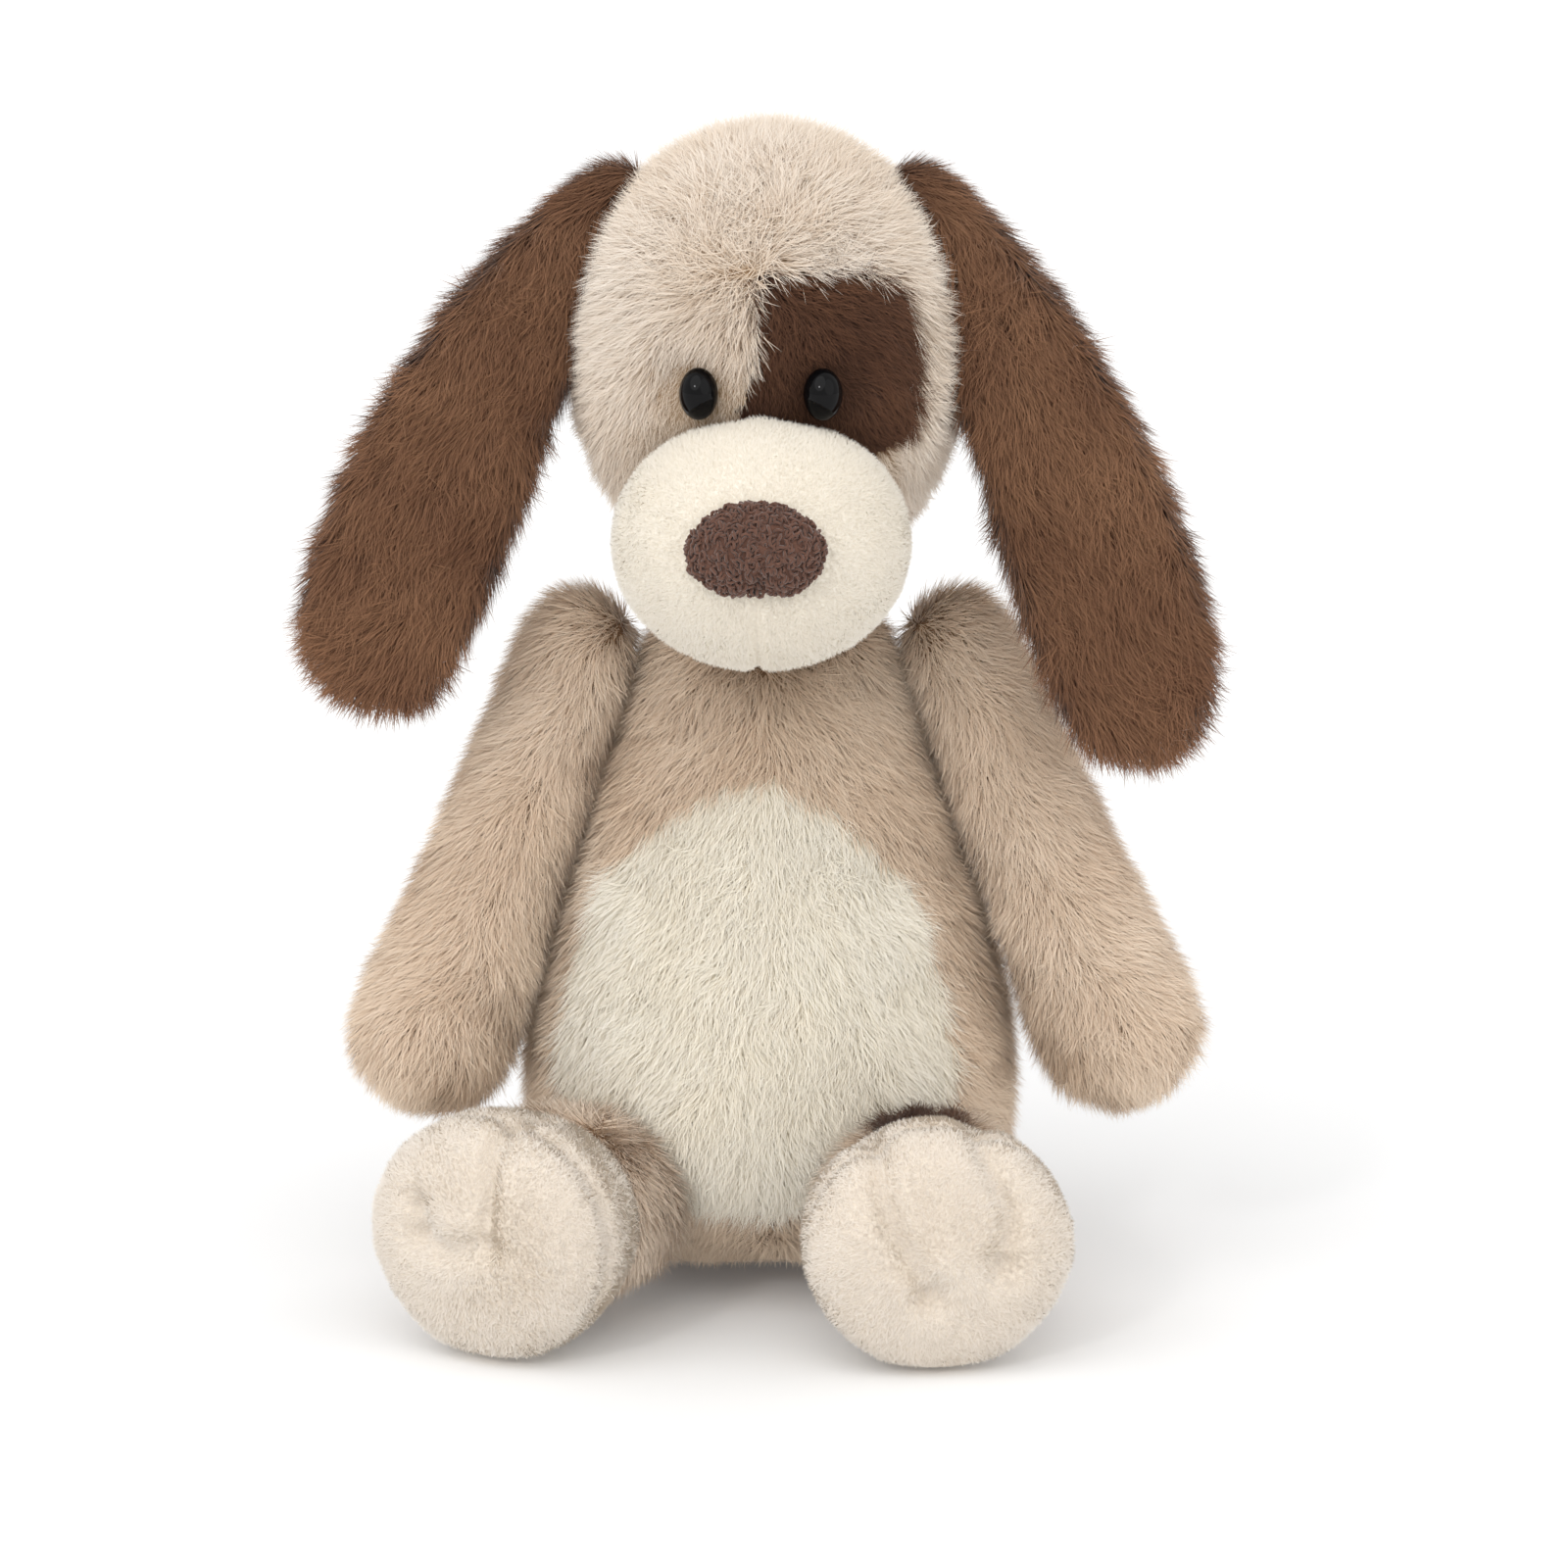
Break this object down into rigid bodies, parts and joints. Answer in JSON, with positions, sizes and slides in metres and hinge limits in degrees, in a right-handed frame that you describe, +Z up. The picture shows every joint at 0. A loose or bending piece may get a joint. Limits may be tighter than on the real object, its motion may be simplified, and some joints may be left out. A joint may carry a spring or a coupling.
{
  "type": "plush dog",
  "caption": "Seated stuffed plush dog with long hanging ears, an eye patch, a soft muzzle, club arms and short legs with round cream feet.",
  "frame": {"origin": "centre of the flat seat under the torso, on the surface that the dog sits on", "axes": "+Z up, along the torso to the top of the head; the dog faces -Y and its own left side is +X"},
  "size_m": [0.191, 0.1628, 0.255],
  "materials": {
    "beige_plush": "matte",
    "pale_beige_plush": "matte",
    "cream_plush": "matte",
    "cream_velour": "matte",
    "brown_plush": "matte",
    "dark_brown_plush": "matte",
    "brown_boucle": "matte",
    "polyester_filling": "matte",
    "pellet_bag_cloth": "matte",
    "black_eye_plastic": "gloss",
    "washer_plastic": "matte"
  },
  "bodies": {
    "torso": {"torso_skin": "beige_plush", "belly_panel": "cream_plush", "torso_stuffing": "polyester_filling", "pellet_bag": "pellet_bag_cloth"},
    "neck": {"neck_stuffing": "polyester_filling"},
    "head": {"head_skin": "pale_beige_plush", "eye_patch": "dark_brown_plush", "head_stuffing": "polyester_filling", "muzzle_skin": "cream_velour", "muzzle_stuffing": "polyester_filling", "nose_cover": "brown_boucle", "nose_wadding": "polyester_filling", "eye_left": "black_eye_plastic", "eye_right": "black_eye_plastic", "eye_washer_left": "washer_plastic", "eye_washer_right": "washer_plastic"},
    "ear_left": {"ear_left_front": "brown_plush", "ear_left_back": "brown_plush"},
    "ear_right": {"ear_right_front": "brown_plush", "ear_right_back": "brown_plush"},
    "arm_left": {"arm_left_skin": "beige_plush", "arm_left_stuffing": "polyester_filling"},
    "arm_right": {"arm_right_skin": "beige_plush", "arm_right_stuffing": "polyester_filling"},
    "leg_left": {"leg_left_skin": "beige_plush", "foot_left_upper": "cream_velour", "foot_left_sole": "cream_velour", "leg_left_stuffing": "polyester_filling", "leg_left_patch": "brown_plush"},
    "leg_right": {"leg_right_skin": "beige_plush", "foot_right_upper": "cream_velour", "foot_right_sole": "cream_velour", "leg_right_stuffing": "polyester_filling"},
    "tail": {"tail_skin": "beige_plush", "tail_stuffing": "polyester_filling"}
  },
  "joints": [
    {"name": "head_nod", "type": "hinge", "parent": "torso", "child": "neck", "pos_m": [0, -0.002, 0.156], "axis": [1, 0, 0], "range_deg": [-12, 4], "stiffness_Nm_per_rad": 3},
    {"name": "head_tilt", "type": "hinge", "parent": "neck", "child": "head", "pos_m": [0, -0.002, 0.156], "axis": [0, 1, 0], "range_deg": [-10, 10], "stiffness_Nm_per_rad": 3},
    {"name": "ear_left_swing", "type": "hinge", "parent": "head", "child": "ear_left", "pos_m": [0.038, -0.017, 0.226], "axis": [0.3435, -0.2063, -0.9162], "range_deg": [-3, 45], "stiffness_Nm_per_rad": 0.08},
    {"name": "ear_right_swing", "type": "hinge", "parent": "head", "child": "ear_right", "pos_m": [-0.038, -0.017, 0.226], "axis": [0.3435, 0.2063, 0.9162], "range_deg": [-3, 45], "stiffness_Nm_per_rad": 0.08},
    {"name": "arm_left_lift", "type": "hinge", "parent": "torso", "child": "arm_left", "pos_m": [0.0285, -0.002, 0.14], "axis": [0, -1, 0], "range_deg": [0, 40], "stiffness_Nm_per_rad": 0.6},
    {"name": "arm_right_lift", "type": "hinge", "parent": "torso", "child": "arm_right", "pos_m": [-0.0285, -0.002, 0.14], "axis": [0, 1, 0], "range_deg": [0, 40], "stiffness_Nm_per_rad": 0.6},
    {"name": "leg_left_lift", "type": "hinge", "parent": "torso", "child": "leg_left", "pos_m": [0.03152, -0.03642, 0.0475], "axis": [-0.9945, -0.1045, 0], "range_deg": [0, 25], "stiffness_Nm_per_rad": 2},
    {"name": "leg_right_lift", "type": "hinge", "parent": "torso", "child": "leg_right", "pos_m": [-0.03768, -0.0343, 0.0475], "axis": [-0.848, 0.5299, 0], "range_deg": [0, 25], "stiffness_Nm_per_rad": 2},
    {"name": "tail_lift", "type": "hinge", "parent": "torso", "child": "tail", "pos_m": [0, 0.0455, 0.0412], "axis": [1, 0, 0], "range_deg": [0, 35], "stiffness_Nm_per_rad": 0.3}
  ]
}
